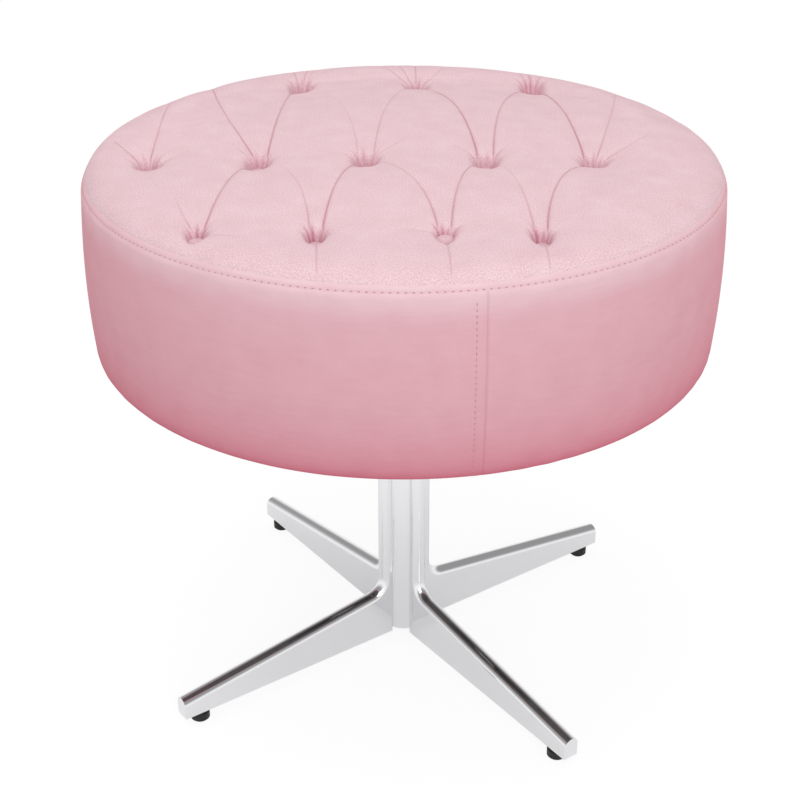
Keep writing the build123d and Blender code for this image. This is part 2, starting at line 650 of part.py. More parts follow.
for maker in (
    column_tube, column_plug, glide_nuts, upper_bush, lower_bush, lower_race,
    ball_cage, bearing_balls,
    spindle, swivel_plate, upper_race, retaining_clip, thrust_washer, plate_bolts, plate_washers, tee_nuts,
    bottom_board, top_board, frame_posts, side_skin, top_foam, side_foam, top_cover, side_band, dust_cover,
    tuft_buttons, tuft_twines, twine_washers,
):
    save(maker.__name__, maker())

save("frame_screws", screw_set(0))

one_leg = leg()
one_pad = glide_pad()
one_stud = glide_stud()
for corner, turn in LEG_NAMES.items():
    save(f"leg_{corner}", Rot(0, 0, turn) * one_leg)
    spot = Rot(0, 0, turn) * Pos(GLIDE_CIRCLE, 0, 0)
    save(f"glide_pad_{corner}", spot * one_pad)
    save(f"glide_stud_{corner}", spot * one_stud)
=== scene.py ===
import bpy
import numpy as np
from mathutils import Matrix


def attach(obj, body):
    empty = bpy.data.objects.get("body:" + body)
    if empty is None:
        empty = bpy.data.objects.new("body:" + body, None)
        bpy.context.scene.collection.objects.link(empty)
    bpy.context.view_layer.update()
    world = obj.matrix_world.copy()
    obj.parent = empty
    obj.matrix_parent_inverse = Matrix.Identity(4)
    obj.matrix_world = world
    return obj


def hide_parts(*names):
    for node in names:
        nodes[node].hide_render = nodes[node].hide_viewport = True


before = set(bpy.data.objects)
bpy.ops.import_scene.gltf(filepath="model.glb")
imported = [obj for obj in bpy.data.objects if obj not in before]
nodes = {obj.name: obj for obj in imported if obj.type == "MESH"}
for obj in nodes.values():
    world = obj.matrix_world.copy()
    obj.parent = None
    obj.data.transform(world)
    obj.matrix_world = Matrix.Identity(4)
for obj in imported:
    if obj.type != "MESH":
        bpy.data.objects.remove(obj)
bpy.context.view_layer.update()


# Column and legs: a steel tube with four pressed steel arms welded round its foot, all polished
# and chrome plated together. One finish covers the five pieces; smears of handling dull it a little.
def linear(red, green, blue):
    """A screen colour, 0 to 255, as Blender's linear colour: the sRGB curve undone."""
    level = np.array([red, green, blue]) / 255
    return (*np.where(level <= 0.04045, level / 12.92, ((level + 0.055) / 1.055) ** 2.4), 1.0)


def add_node(tree, kind, sockets=None, **settings):
    """Adds one shader node; sockets gives inputs a value or a link, settings sets its options."""
    made = tree.nodes.new("ShaderNode" + kind)
    for name, value in settings.items():
        setattr(made, name, value)
    for name, value in (sockets or {}).items():
        if isinstance(value, bpy.types.NodeSocket):
            tree.links.new(value, made.inputs[name])
        else:
            made.inputs[name].default_value = value
    return made


def maths(tree, operation, first, second=0.0):
    """One step of arithmetic on two values or links."""
    return add_node(tree, "Math", {0: first, 1: second}, operation=operation).outputs[0]


def mix_colours(tree, share, first, second, way="MIX"):
    """Goes from the first colour to the second by share."""
    mixed = add_node(tree, "Mix", {0: share, 6: first, 7: second}, data_type="RGBA", blend_type=way)
    return mixed.outputs[2]


def new_effect(name, inputs, outputs):
    """Starts a node group with named sockets; returns it with its input and output nodes."""
    group = bpy.data.node_groups.new(name, "ShaderNodeTree")
    for sockets, way in ((inputs, "INPUT"), (outputs, "OUTPUT")):
        for socket, kind in sockets.items():
            group.interface.new_socket(socket, in_out=way, socket_type="NodeSocket" + kind)
    return group, group.nodes.new("NodeGroupInput").outputs, group.nodes.new("NodeGroupOutput").inputs


def new_finish(name, sockets):
    """Starts a material and sets constants on its Principled shader; returns material, tree, shader."""
    finish = bpy.data.materials.new(name)
    finish.use_nodes = True
    shader = finish.node_tree.nodes["Principled BSDF"]
    for socket, value in sockets.items():
        shader.inputs[socket].default_value = value
    return finish, finish.node_tree, shader


def own_place(tree):
    """Places in the piece's own coordinates, which ride with it; in the surround, the way looked."""
    return add_node(tree, "TexCoord").outputs["Object"]


def raise_surface(tree, shader, height, strength, distance):
    """Feeds a height into the shader's normal through a Bump node; distance is in metres."""
    bump = add_node(tree, "Bump", {"Height": height, "Strength": strength, "Distance": distance})
    tree.links.new(bump.outputs["Normal"], shader.inputs["Normal"])


def dress(finish, *names):
    """Gives CAD nodes their finish."""
    for name in names:
        nodes[name].data.materials.clear()
        nodes[name].data.materials.append(finish)


handling_marks, given, put_out = new_effect(
    "handling_marks",
    {"Size": "Float", "Clean": "Float", "Marked": "Float"},
    {"Roughness": "Float", "Height": "Float"},
)
place = own_place(handling_marks)
smears = add_node(handling_marks, "TexNoise", {
    "Vector": place, "Scale": given["Size"], "Detail": 6.0, "Roughness": 0.6})
spread = add_node(handling_marks, "MapRange", {
    "Value": smears.outputs["Fac"], "From Min": 0.42, "From Max": 0.75,
    "To Min": given["Clean"], "To Max": given["Marked"]})
handling_marks.links.new(spread.outputs["Result"], put_out["Roughness"])
ripple = add_node(handling_marks, "TexNoise", {"Vector": place, "Scale": 420.0, "Detail": 3.0})
handling_marks.links.new(ripple.outputs["Fac"], put_out["Height"])

LEGS = ["front_left", "front_right", "back_left", "back_right"]
chrome, tree, shader = new_finish("polished_chrome", {"Base Color": linear(236, 236, 238), "Metallic": 1.0})
smear = add_node(tree, "Group", {"Size": 34.0, "Clean": 0.05, "Marked": 0.13}, node_tree=handling_marks)
tree.links.new(smear.outputs["Roughness"], shader.inputs["Roughness"])
raise_surface(tree, shader, smear.outputs["Height"], strength=0.04, distance=0.0002)
dress(chrome, "column_tube", *["leg_" + leg for leg in LEGS])


# Column plug and glide pads: black moulded nylon, pushed into the tube's foot and screwed under
# each leg tip. The moulding leaves a fine matt grain that wears a little smoother.
def marked_finish(name, constants, marks, dark, bright, strength=0.0, distance=0.0):
    """A finish with handling marks: they dull it in patches, cloud its colour and may raise its grain."""
    finish, tree, shader = new_finish(name, constants)
    worn = add_node(tree, "Group", marks, node_tree=handling_marks)
    tree.links.new(worn.outputs["Roughness"], shader.inputs["Roughness"])
    tree.links.new(mix_colours(tree, worn.outputs["Height"], dark, bright), shader.inputs["Base Color"])
    if strength:
        raise_surface(tree, shader, worn.outputs["Height"], strength, distance)
    return finish


black_nylon = marked_finish(
    "black_nylon", {"Specular IOR Level": 0.4}, {"Size": 90.0, "Clean": 0.42, "Marked": 0.58},
    dark=linear(18, 18, 19), bright=linear(34, 33, 34), strength=0.25, distance=0.0003)
dress(black_nylon, "column_plug", *["glide_pad_" + leg for leg in LEGS])


# Zinc plated fixings: glide studs and their welded nuts, frame screws, plate bolts, washers and
# tee nuts, all bought in. The bright zinc has a cloudy, slightly blue passivated skin.
zinc = marked_finish(
    "zinc_steel", {"Metallic": 1.0}, {"Size": 260.0, "Clean": 0.24, "Marked": 0.46},
    dark=linear(168, 172, 178), bright=linear(204, 206, 208))
dress(zinc, "glide_nuts", "frame_screws", "plate_bolts", "plate_washers", "tee_nuts",
      *["glide_stud_" + leg for leg in LEGS])


# Thrust bearing and spindle: turned and ground steel, with its balls in a pressed brass cage. Fine
# rings from the lathe run round the swivel's axis on every turned face.
LATHE_PITCH = 0.00008
turned_rings, given, put_out = new_effect("turned_rings", {"Pitch": "Float"}, {"Height": "Float"})
part = add_node(turned_rings, "SeparateXYZ", {"Vector": own_place(turned_rings)})
square = maths(turned_rings, "ADD", maths(turned_rings, "POWER", part.outputs["X"], 2.0),
               maths(turned_rings, "POWER", part.outputs["Y"], 2.0))
reach = maths(turned_rings, "ADD", maths(turned_rings, "SQRT", square), part.outputs["Z"])
turns = maths(turned_rings, "SINE", maths(turned_rings, "DIVIDE", reach, given["Pitch"]))
turned_rings.links.new(turns, put_out["Height"])


def turned_metal(name, clean, marked, dark, bright):
    """A turned metal finish: patchy roughness, a slight cloud in the colour, and lathe rings."""
    marks = {"Size": 150.0, "Clean": clean, "Marked": marked}
    finish = marked_finish(name, {"Metallic": 1.0}, marks, dark, bright)
    tree, shader = finish.node_tree, finish.node_tree.nodes["Principled BSDF"]
    rings = add_node(tree, "Group", {"Pitch": LATHE_PITCH}, node_tree=turned_rings)
    raise_surface(tree, shader, rings.outputs["Height"], strength=0.06, distance=0.0001)
    return finish


bearing_steel = turned_metal(
    "bearing_steel", clean=0.14, marked=0.3, dark=linear(172, 172, 174), bright=linear(206, 206, 206))
dress(bearing_steel, "spindle", "upper_race", "lower_race", "bearing_balls",
      "retaining_clip", "thrust_washer")
brass = turned_metal(
    "brass", clean=0.2, marked=0.36, dark=linear(190, 150, 78), bright=linear(214, 178, 104))
dress(brass, "ball_cage")


# Bushes: white nylon sleeves pressed into the tube, the upper one with a flange that shows as a thin
# pale line between the column and the bearing.
white_nylon = marked_finish(
    "white_nylon", {"Subsurface Weight": 0.06, "Subsurface Scale": 0.002},
    {"Size": 120.0, "Clean": 0.34, "Marked": 0.46},
    dark=linear(222, 220, 212), bright=linear(234, 233, 228))
dress(white_nylon, "upper_bush", "lower_bush")


# Swivel plate: a square steel pressing with the spindle through it, bolted under the bottom board.
# It is powder coated black, with the coat's fine orange peel.
black_steel = marked_finish(
    "black_steel", {"Specular IOR Level": 0.5}, {"Size": 70.0, "Clean": 0.34, "Marked": 0.5},
    dark=linear(22, 22, 23), bright=linear(36, 36, 37), strength=0.3, distance=0.0004)
dress(black_steel, "swivel_plate")


# Drum frame: two plywood boards on turned posts, with a bent hardboard skin round them. The plies
# show as level lines on cut edges, and the face veneers have a long grain.
wood_layers, given, put_out = new_effect(
    "wood_layers",
    {"Pale": "Color", "Dark": "Color", "Ply": "Float"},
    {"Colour": "Color", "Height": "Float"},
)
place = own_place(wood_layers)
along = add_node(wood_layers, "Mapping", {"Vector": place, "Scale": (14.0, 190.0, 60.0)})
grain = add_node(wood_layers, "TexNoise", {
    "Vector": along.outputs["Vector"], "Scale": 1.0, "Detail": 7.0, "Roughness": 0.6})
level = add_node(wood_layers, "SeparateXYZ", {"Vector": place}).outputs["Z"]
layer = maths(wood_layers, "SINE", maths(wood_layers, "DIVIDE", level, given["Ply"]))
share = maths(wood_layers, "ADD", grain.outputs["Fac"], maths(wood_layers, "MULTIPLY", layer, 0.16))
tint = add_node(wood_layers, "MapRange", {"Value": share, "From Min": 0.3, "From Max": 0.75})
tone = mix_colours(wood_layers, tint.outputs["Result"], given["Pale"], given["Dark"])
wood_layers.links.new(tone, put_out["Colour"])
wood_layers.links.new(grain.outputs["Fac"], put_out["Height"])


def wood_finish(name, pale, dark, ply):
    """A bare wood finish of the given two tones; ply, in metres, sets how close its layers lie."""
    finish, tree, shader = new_finish(name, {"Roughness": 0.7})
    wood = add_node(tree, "Group", {"Pale": pale, "Dark": dark, "Ply": ply}, node_tree=wood_layers)
    tree.links.new(wood.outputs["Colour"], shader.inputs["Base Color"])
    raise_surface(tree, shader, wood.outputs["Height"], strength=0.2, distance=0.0004)
    return finish


plywood = wood_finish("plywood", linear(214, 184, 138), linear(168, 128, 82), ply=0.0005)
dress(plywood, "bottom_board", "top_board", "frame_posts")
hardboard = wood_finish("hardboard", linear(136, 98, 62), linear(104, 72, 44), ply=0.0002)
dress(hardboard, "side_skin", "twine_washers")


# Tuft twines: waxed twine from each button down through foam and board, knotted over a washer.
# Its twisted strands show as narrow, uneven bands of two pale tones.
waxed_twine, tree, shader = new_finish("waxed_twine", {"Roughness": 0.5})
twist = add_node(tree, "TexWave", {"Vector": own_place(tree), "Scale": 420.0, "Distortion": 2.0})
tone = mix_colours(tree, twist.outputs["Fac"], linear(196, 178, 140), linear(226, 212, 180))
tree.links.new(tone, shader.inputs["Base Color"])
raise_surface(tree, shader, twist.outputs["Fac"], strength=0.5, distance=0.0003)
dress(waxed_twine, "tuft_twines")


# Dust cover: a round of black non-woven cloth stapled over the drum's open underside and clamped
# by the swivel plate, holed for the bolts. It is pulled tight, and ripples a little at its edge.
def grid_quads(rows, columns, round_rows=False, round_columns=False):
    """The four corner numbers of each cell of a grid of points, optionally joined round on itself."""
    number = np.arange(rows * columns).reshape(rows, columns)
    number = np.vstack([number, number[:1]]) if round_rows else number
    number = np.column_stack([number, number[:, :1]]) if round_columns else number
    quads = np.stack([number[:-1, :-1], number[:-1, 1:], number[1:, 1:], number[1:, :-1]], axis=-1)
    return quads.reshape(-1, 4)


def put_mesh(name, points, faces, finish, body, cut=None):
    """Makes a smooth piece from points in millimetres and faces; cut gives each point its flat place."""
    mesh = bpy.data.meshes.new(name)
    mesh.from_pydata(points / 1000, [], faces)
    mesh.polygons.foreach_set("use_smooth", np.ones(len(mesh.polygons), bool))
    if cut is not None:
        corners = np.zeros(len(mesh.loops), int)
        mesh.loops.foreach_get("vertex_index", corners)
        mesh.uv_layers.new(name="cut").data.foreach_set("uv", (cut / 1000)[corners].ravel())
    mesh.materials.append(finish)
    made = bpy.data.objects.new(name, mesh)
    bpy.context.collection.objects.link(made)
    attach(made, body)
    return made


black_cloth, tree, shader = new_finish("black_cloth", {
    "Roughness": 0.9, "Sheen Weight": 0.25, "Sheen Roughness": 0.5})
fibres = add_node(tree, "TexNoise", {"Vector": own_place(tree), "Scale": 900.0, "Detail": 4.0})
bonds = add_node(tree, "TexVoronoi", {"Vector": own_place(tree), "Scale": 700.0})
weight = maths(tree, "MULTIPLY", fibres.outputs["Fac"], bonds.outputs["Distance"])
tone = mix_colours(tree, weight, linear(84, 84, 83), linear(128, 127, 125))
tree.links.new(tone, shader.inputs["Base Color"])
raise_surface(tree, shader, weight, strength=0.5, distance=0.0004)

CLOTH_RADIUS = 215.6
CLOTH_HOLE = 34.0
CLOTH_LEVEL = 301.5
CLOTH_THICKNESS = 0.0006
CLAMPED_RADIUS = 90.0
RIPPLE = 0.3
BOLT_SPACING = 115.0
BOLT_HOLE = 6.0


def dust_cloth_points(spokes, rings):
    """A round grid, flat where clamped, whose level ripples with the angle, more towards the edge."""
    out = np.linspace(CLOTH_HOLE, CLOTH_RADIUS, rings)
    radius, angle = np.meshgrid(out, np.linspace(0, 2 * np.pi, spokes, endpoint=False))
    ripple = RIPPLE * (radius / CLOTH_RADIUS) ** 3 * np.sin(17 * angle) * np.cos(5 * angle + 1)
    level = CLOTH_LEVEL + ripple * (radius > CLAMPED_RADIUS)
    return np.stack([radius * np.cos(angle), radius * np.sin(angle), level], axis=-1)


cloth = dust_cloth_points(288, 96)
faces = grid_quads(*cloth.shape[:2], round_rows=True)
middle = cloth.reshape(-1, 3)[faces].mean(axis=1)
from_bolts = np.hypot(*(np.abs(middle[:, :2]) - BOLT_SPACING / 2).T)
faces = faces[from_bolts > BOLT_HOLE].tolist()
dust_cloth = put_mesh("dust_cloth", cloth.reshape(-1, 3), faces, black_cloth, "seat")
dust_cloth.modifiers.new("cloth", "SOLIDIFY").thickness = CLOTH_THICKNESS
dust_cloth.modifiers["cloth"].offset = 0.0
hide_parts("dust_cover")


# Top pad: the round top panel of the cover over thick foam, pulled down by twelve buttons in three
# rows. Loose cloth folds into fine pleats from button to button, and gathers round each button.
SEAM_RADIUS = 244.0
CROWN_TOP = 462.0
CROWN_SPHERE = 3366.5
SHOULDER_RADIUS = 18.0
SHOULDER = (229.51, 436.13)
CROWN_END = SHOULDER[0] + 1.23
ROLL_WIDTH = 46.0
ROLL_HEIGHT = 2.9
ROLL_MORE_BEHIND = 1.9
PAD_LOW = 399.6
GRID = 520
FURROW_WIDTH = 7.0
FURROW_DEPTH = 1.8
FOLD_WIDTH = 1.7
FOLD_DEPTH = 1.5
PLEAT_REACH = 24.0
PLEAT_POINTS = 70
NO_PLEAT = 99.0
THROAT_STEEPNESS = 7
THROAT_SHARE = 0.78
BOWL_SHARE = 0.2
BOWL_MARGIN = 30.0
GATHER_REACH = 46.0
GATHER_WIDTH = 1.3
GATHER_DEPTH = 1.9
dice = np.random.default_rng(41)


def row_of_tufts(level, spread):
    """Button places along one straight row, as parts of the row's half chord across the seat."""
    half_chord = np.sqrt(SEAM_RADIUS**2 - level**2)
    return np.column_stack([half_chord * np.array(spread), np.full(len(spread), level)])


back_row = row_of_tufts(179.0, (-0.546, 0.066, 0.676))
middle_row = row_of_tufts(-30.0, (-0.80, -0.455, -0.12, 0.256, 0.593))
front_row = row_of_tufts(-172.0, (-0.81, -0.345, 0.16, 0.537))
tufts = np.vstack([back_row, middle_row, front_row])
rows = np.repeat([0, 1, 2], [len(back_row), len(middle_row), len(front_row)])

# By button or by row: how far a button is pulled down, the radius of its dimple's throat and bowl,
# how dark the painted shade of its gathers is, and how far the dimple's mouth leans to the front.
pull = np.array([15.0, 15.0, 15.0, 16.0, 16.0, 16.0, 16.5, 16.0, 10.8, 16.0, 11.2, 16.0])
throat_radius = np.array([8.8, 8.6, 6.2])[rows]
bowl_radius = np.array([13.0, 14.0, 11.0])[rows]
gather_shade_level = np.array([0.66, 0.6, 1.0])[rows]
mouth = np.array([8.0, 2.0, 9.0, 2.0, 8.0, 6.0, 8.0, 2.0, 7.0, 6.0, 7.0, 8.0])


def plain_level(radius):
    """Height of the top without tufts: the crown's sphere, then the circle of the round shoulder."""
    crown = CROWN_TOP - CROWN_SPHERE + np.sqrt(CROWN_SPHERE**2 - radius**2)
    beyond = np.clip(radius - SHOULDER[0], 0, SHOULDER_RADIUS)
    shoulder = SHOULDER[1] + np.sqrt(SHOULDER_RADIUS**2 - beyond**2)
    return np.where(radius < CROWN_END, crown, shoulder)


def plump(x, y):
    """How far foam fills the top out by its seam: half a sine wave, steeper at the seam, fuller behind."""
    part = np.clip((SEAM_RADIUS - np.hypot(x, y)) / ROLL_WIDTH, 0, 1)
    return (ROLL_HEIGHT + ROLL_MORE_BEHIND * y / SEAM_RADIUS) * np.sin(np.pi * part**0.62)


def round_grid(count, radius):
    """Wraps a square grid on a disc: each square ring becomes a circle, its points spread evenly."""
    s, t = np.meshgrid(np.linspace(-1, 1, count), np.linspace(-1, 1, count))
    wide = np.abs(s) > np.abs(t)
    reach = np.where(wide, s, t)
    part = np.divide(np.where(wide, t, s), reach, out=np.zeros_like(s), where=reach != 0)
    angle = np.where(wide, np.pi / 4 * part, np.pi / 2 - np.pi / 4 * part)
    return radius * reach * np.cos(angle), radius * reach * np.sin(angle)


def bowed_grid(count, radius):
    """Spreads a square grid smoothly over a disc, each side of the square bowed out to the rim."""
    s, t = np.meshgrid(np.linspace(-1, 1, count), np.linspace(-1, 1, count))
    return radius * s * np.sqrt(1 - t**2 / 2), radius * t * np.sqrt(1 - s**2 / 2)


def bowed_place(x, y):
    """Where points of the unit disc lie on the bowed grid: its formula solved for the square's sides."""
    tilt = x**2 - y**2
    root = 2 * np.sqrt(2)
    first = [np.sqrt(np.maximum(2 + tilt + way * root * x, 0)) for way in (1, -1)]
    second = [np.sqrt(np.maximum(2 - tilt + way * root * y, 0)) for way in (1, -1)]
    return (first[0] - first[1]) / 2, (second[0] - second[1]) / 2


def pleat(start, end, start_depth, end_depth, bow):
    """A pleat's line: it leaves its upper end sideways and turns to come down on its lower end."""
    t = np.linspace(0, 1, PLEAT_POINTS)
    side = (1 - bow) * t + bow * np.sin(np.pi * t / 2)
    down = (1 - bow) * t + bow * (1 - np.cos(np.pi * t / 2))
    line = np.array(start) + (np.array(end) - np.array(start)) * np.column_stack([side, down])
    fade = 0.62 + 0.38 * np.abs(2 * t - 1) ** 1.4
    return line, fade * (start_depth + (end_depth - start_depth) * t)


# Pleats between the rows: upper button, lower button, and how deep each end is.
TIED_PLEATS = [
    (0, 4, 0.8, 1.0), (0, 5, 0.0, 0.35), (1, 5, 0.3, 0.6), (1, 6, 1.1, 1.1), (2, 6, 0.7, 0.9),
    (2, 7, 1.1, 1.1), (4, 8, 0.8, 1.0), (4, 9, 0.0, 0.7), (5, 9, 0.9, 1.1), (5, 10, 0.3, 0.9),
    (6, 10, 0.8, 0.9), (6, 11, 0.0, 0.7), (7, 11, 0.9, 1.0),
]

# Pleats that run out from one button and die away: button, far end, and how deep each end is.
LOOSE_PLEATS = [
    (8, (-163, -108), 1.0, 0.0), (3, (-197, 137), 0.9, 0.5), (3, (-226, 14), 1.1, 0.5),
    (4, (-169, 168), 1.0, 0.6), (7, (196, 26), 0.9, 0.0), (7, (183, 152), 0.8, 0.3),
    (5, (6, 16), 0.9, 0.0), (3, (-164, -6), 0.6, 0.0), (6, (34, 0), 0.8, 0.0),
    (6, (84, 4), 0.6, 0.0), (4, (-134, 2), 0.7, 0.0), (8, (-172, -152), 0.5, 0.0),
    (8, (-104, -186), 0.9, 0.0), (9, (-56, -232), 0.9, 0.4), (9, (-38, -182), 0.7, 0.0),
    (10, (30, -236), 0.9, 0.4), (10, (-6, -174), 0.8, 0.0), (11, (94, -222), 0.9, 0.4),
    (11, (116, -182), 0.6, 0.0), (0, (-100, 214), 0.9, 0.6), (0, (-87, 220), 1.0, 0.6),
    (0, (-78, 222), 0.6, 0.3), (1, (-22, 234), 0.8, 0.4), (1, (-6, 236), 0.9, 0.5),
    (1, (10, 236), 1.0, 0.6), (1, (38, 226), 0.6, 0.2), (2, (100, 216), 0.8, 0.5),
    (2, (110, 214), 1.1, 0.7), (2, (120, 206), 0.6, 0.3),
]


def beside_tuft(number, toward, back):
    """A place on a dimple's rim: to the side of another place, and a part of its radius to the back."""
    side = np.sign(toward[0] - tufts[number][0])
    return tufts[number] + throat_radius[number] * np.array([0.68 * side, back])


def bell(distance, width):
    """One at no distance, less to both sides: e to minus the square of distance over width."""
    return np.exp(-((distance / width) ** 2))


def pleat_fields(x, y):
    """Over the top: each pleat's soft furrow, its sharp fold, and the nearest fold's gap, signed by side."""
    lines = []
    for upper, lower, start, end in TIED_PLEATS:
        top, foot = beside_tuft(upper, tufts[lower], -0.5), beside_tuft(lower, tufts[upper], 0.7)
        lines.append(pleat(top, foot, start, end, bow=0.66))
    for button, far, start, end in LOOSE_PLEATS:
        lines.append(pleat(tufts[button], far, start, end, bow=0.2))
    furrow, fold, nearest_fold = np.zeros(x.shape), np.zeros(x.shape), np.full(x.shape, NO_PLEAT)
    for line, depth in lines:
        low, high = line.min(axis=0) - PLEAT_REACH, line.max(axis=0) + PLEAT_REACH
        near = (x > low[0]) & (x < high[0]) & (y > low[1]) & (y < high[1])
        apart = np.stack([x[near], y[near]], axis=-1)[:, None] - line
        nearest = np.hypot(apart[..., 0], apart[..., 1]).argmin(axis=1)
        apart = apart[np.arange(len(nearest)), nearest]
        way = np.gradient(line, axis=0)[nearest]
        step = np.hypot(way[:, 0], way[:, 1])
        aside = (way[:, 0] * apart[:, 1] - way[:, 1] * apart[:, 0]) / step
        past = np.maximum(np.abs(way[:, 0] * apart[:, 0] + way[:, 1] * apart[:, 1]) / step - step / 2, 0)
        gap = np.hypot(aside, past)
        signed = gap * np.where(aside > 0, 1, -1)
        furrow[near] = np.maximum(furrow[near], depth[nearest] * bell(gap, FURROW_WIDTH))
        fold[near] = np.maximum(fold[near], depth[nearest] * np.exp(-((gap / FOLD_WIDTH) ** 1.5)))
        closer = gap < np.abs(nearest_fold[near])
        nearest_fold[near] = np.where(closer, signed, nearest_fold[near])
    return furrow, fold, nearest_fold


def dimple_field(x, y):
    """How far tufts pull the top down, a steep throat in a soft bowl, longer in front; and the throat."""
    back = y[..., None] - tufts[:, 1]
    away = np.hypot(x[..., None] - tufts[:, 0], back / np.where(back < 0, 1 + mouth / throat_radius, 1))
    inside = np.clip((SEAM_RADIUS - np.hypot(x, y)) / BOWL_MARGIN, 0, 1)[..., None]
    throat = 1 / (1 + (away / throat_radius) ** THROAT_STEEPNESS)
    bowl = bell(away, bowl_radius) + 0.16 * np.exp(-away / 30.0)
    return np.max(pull * (THROAT_SHARE * throat + BOWL_SHARE * inside * bowl), axis=-1), throat.max(axis=-1)


def gather_field(x, y):
    """Fine folds standing round each button, longest on the back wall: their depth and their painted shade.
    """
    total, tone = np.zeros(x.shape), np.zeros(x.shape)
    for (across, back), hole, dark in zip(tufts, throat_radius, gather_shade_level):
        turn = np.arctan2(y - back, x - across)
        away = np.hypot(x - across, y - back)
        near = away < GATHER_REACH
        count = dice.integers(11, 15)
        angles = (np.arange(count) + dice.uniform(-0.3, 0.3, count)) * 2 * np.pi / count
        sizes = dice.uniform(0.5, 1.0, count) * np.clip(0.4 + 0.7 * np.sin(angles), 0, 1)
        lengths = dice.uniform(0.35, 0.75, count) * hole * (1 + 0.7 * (np.sin(angles) > 0.3))
        apart = np.angle(np.exp(1j * (turn[near][:, None] - angles)))
        across_fold = np.exp(-((np.abs(apart) * away[near][:, None] / GATHER_WIDTH) ** 1.6))
        along_fold = bell(away[near][:, None] - hole, lengths)
        folds = (sizes * across_fold * along_fold).max(axis=1)
        total[near] = np.maximum(total[near], folds)
        tone[near] = np.maximum(tone[near], dark * folds)
    return total, tone


def sample_grid(values, s, t):
    """Reads a square grid of vectors at places from -1 to 1 by smooth cubic weights along each side."""
    count = len(values)
    result = 0
    weights = []
    for place in (t, s):
        at = np.clip((place + 1) / 2 * (count - 1), 0, count - 1)
        base = np.clip(at.astype(int), 0, count - 2)
        u = at - base
        cubic = [-u + 2 * u**2 - u**3, 2 - 5 * u**2 + 3 * u**3, u + 4 * u**2 - 3 * u**3, -(u**2) + u**3]
        weights.append([(np.clip(base + k - 1, 0, count - 1), 0.5 * cubic[k]) for k in range(4)])
    for row, down in weights[0]:
        for column, over in weights[1]:
            result = result + (down * over)[..., None] * values[row, column]
    return result


def smooth_step(value, start, length):
    """Rises from nought to one over a length, level at both ends: three squares less two cubes."""
    part = np.clip((value - start) / length, 0, 1)
    return part**2 * (3 - 2 * part)


def inland(x, y):
    """How fully pleats and gathers show: not at all close to the seam, and fully 34 mm in from it."""
    return smooth_step(SEAM_RADIUS - np.hypot(x, y), 4.0, 30.0)


def blown_cover(count, pressure, frames, most):
    """Blows the cover up as cloth, held at buttons and seam; returns how each grid point moved, eased."""
    x, y = bowed_grid(count, SEAM_RADIUS)
    furrows = FURROW_DEPTH * inland(x, y) * pleat_fields(x, y)[0]
    level = plain_level(np.hypot(x, y)) + plump(x, y) - dimple_field(x, y)[0] - furrows
    points = np.stack([x, y, level], axis=-1)
    trial = bpy.data.objects.new("cover_trial", bpy.data.meshes.new("cover_trial"))
    trial.data.from_pydata(points.reshape(-1, 3) / 1000, [], grid_quads(count, count).tolist())
    bpy.context.collection.objects.link(trial)
    away = np.hypot(x[..., None] - tufts[:, 0], y[..., None] - tufts[:, 1]) - 0.9 * throat_radius
    held = ((np.hypot(x, y) > SEAM_RADIUS - 3.0) | (away < 0).any(axis=-1)).ravel()
    trial.vertex_groups.new(name="held").add(np.flatnonzero(held).tolist(), 1.0, "REPLACE")
    settings = trial.modifiers.new("cloth", "CLOTH").settings
    settings.vertex_group_mass = "held"
    settings.quality = 6
    settings.mass = 0.25
    settings.tension_stiffness = settings.compression_stiffness = 20.0
    settings.bending_stiffness = 0.6
    settings.use_pressure = True
    settings.uniform_pressure_force = pressure
    settings.effector_weights.gravity = 0.0
    for frame_number in range(1, frames + 1):
        bpy.context.scene.frame_set(frame_number)
    result = trial.evaluated_get(bpy.context.evaluated_depsgraph_get()).data
    moved = np.zeros(3 * count * count)
    result.vertices.foreach_get("co", moved)
    moved = moved.reshape(count, count, 3) * 1000 - points
    bpy.context.scene.frame_set(1)
    bpy.data.objects.remove(trial, do_unlink=True)
    length = np.linalg.norm(moved, axis=-1, keepdims=True)
    moved = moved * np.minimum(1, most / np.maximum(length, 1e-9))
    for easing in range(3):
        moved[1:-1] = 0.25 * moved[:-2] + 0.5 * moved[1:-1] + 0.25 * moved[2:]
        moved[:, 1:-1] = 0.25 * moved[:, :-2] + 0.5 * moved[:, 1:-1] + 0.25 * moved[:, 2:]
    return moved


x, y = round_grid(GRID, SEAM_RADIUS)
radius = np.hypot(x, y)
furrow, fold, nearest_fold = pleat_fields(x, y)
gathers, gather_shade = gather_field(x, y)
dimple, throat = dimple_field(x, y)
level = plain_level(radius) + plump(x, y) - dimple
level -= inland(x, y) * (FURROW_DEPTH * furrow + FOLD_DEPTH * fold + GATHER_DEPTH * gathers)
pad = np.stack([x, y, level], axis=-1)
moved = blown_cover(132, pressure=3.0, frames=20, most=5.0)
pad += sample_grid(moved, *bowed_place(x / SEAM_RADIUS, y / SEAM_RADIUS))

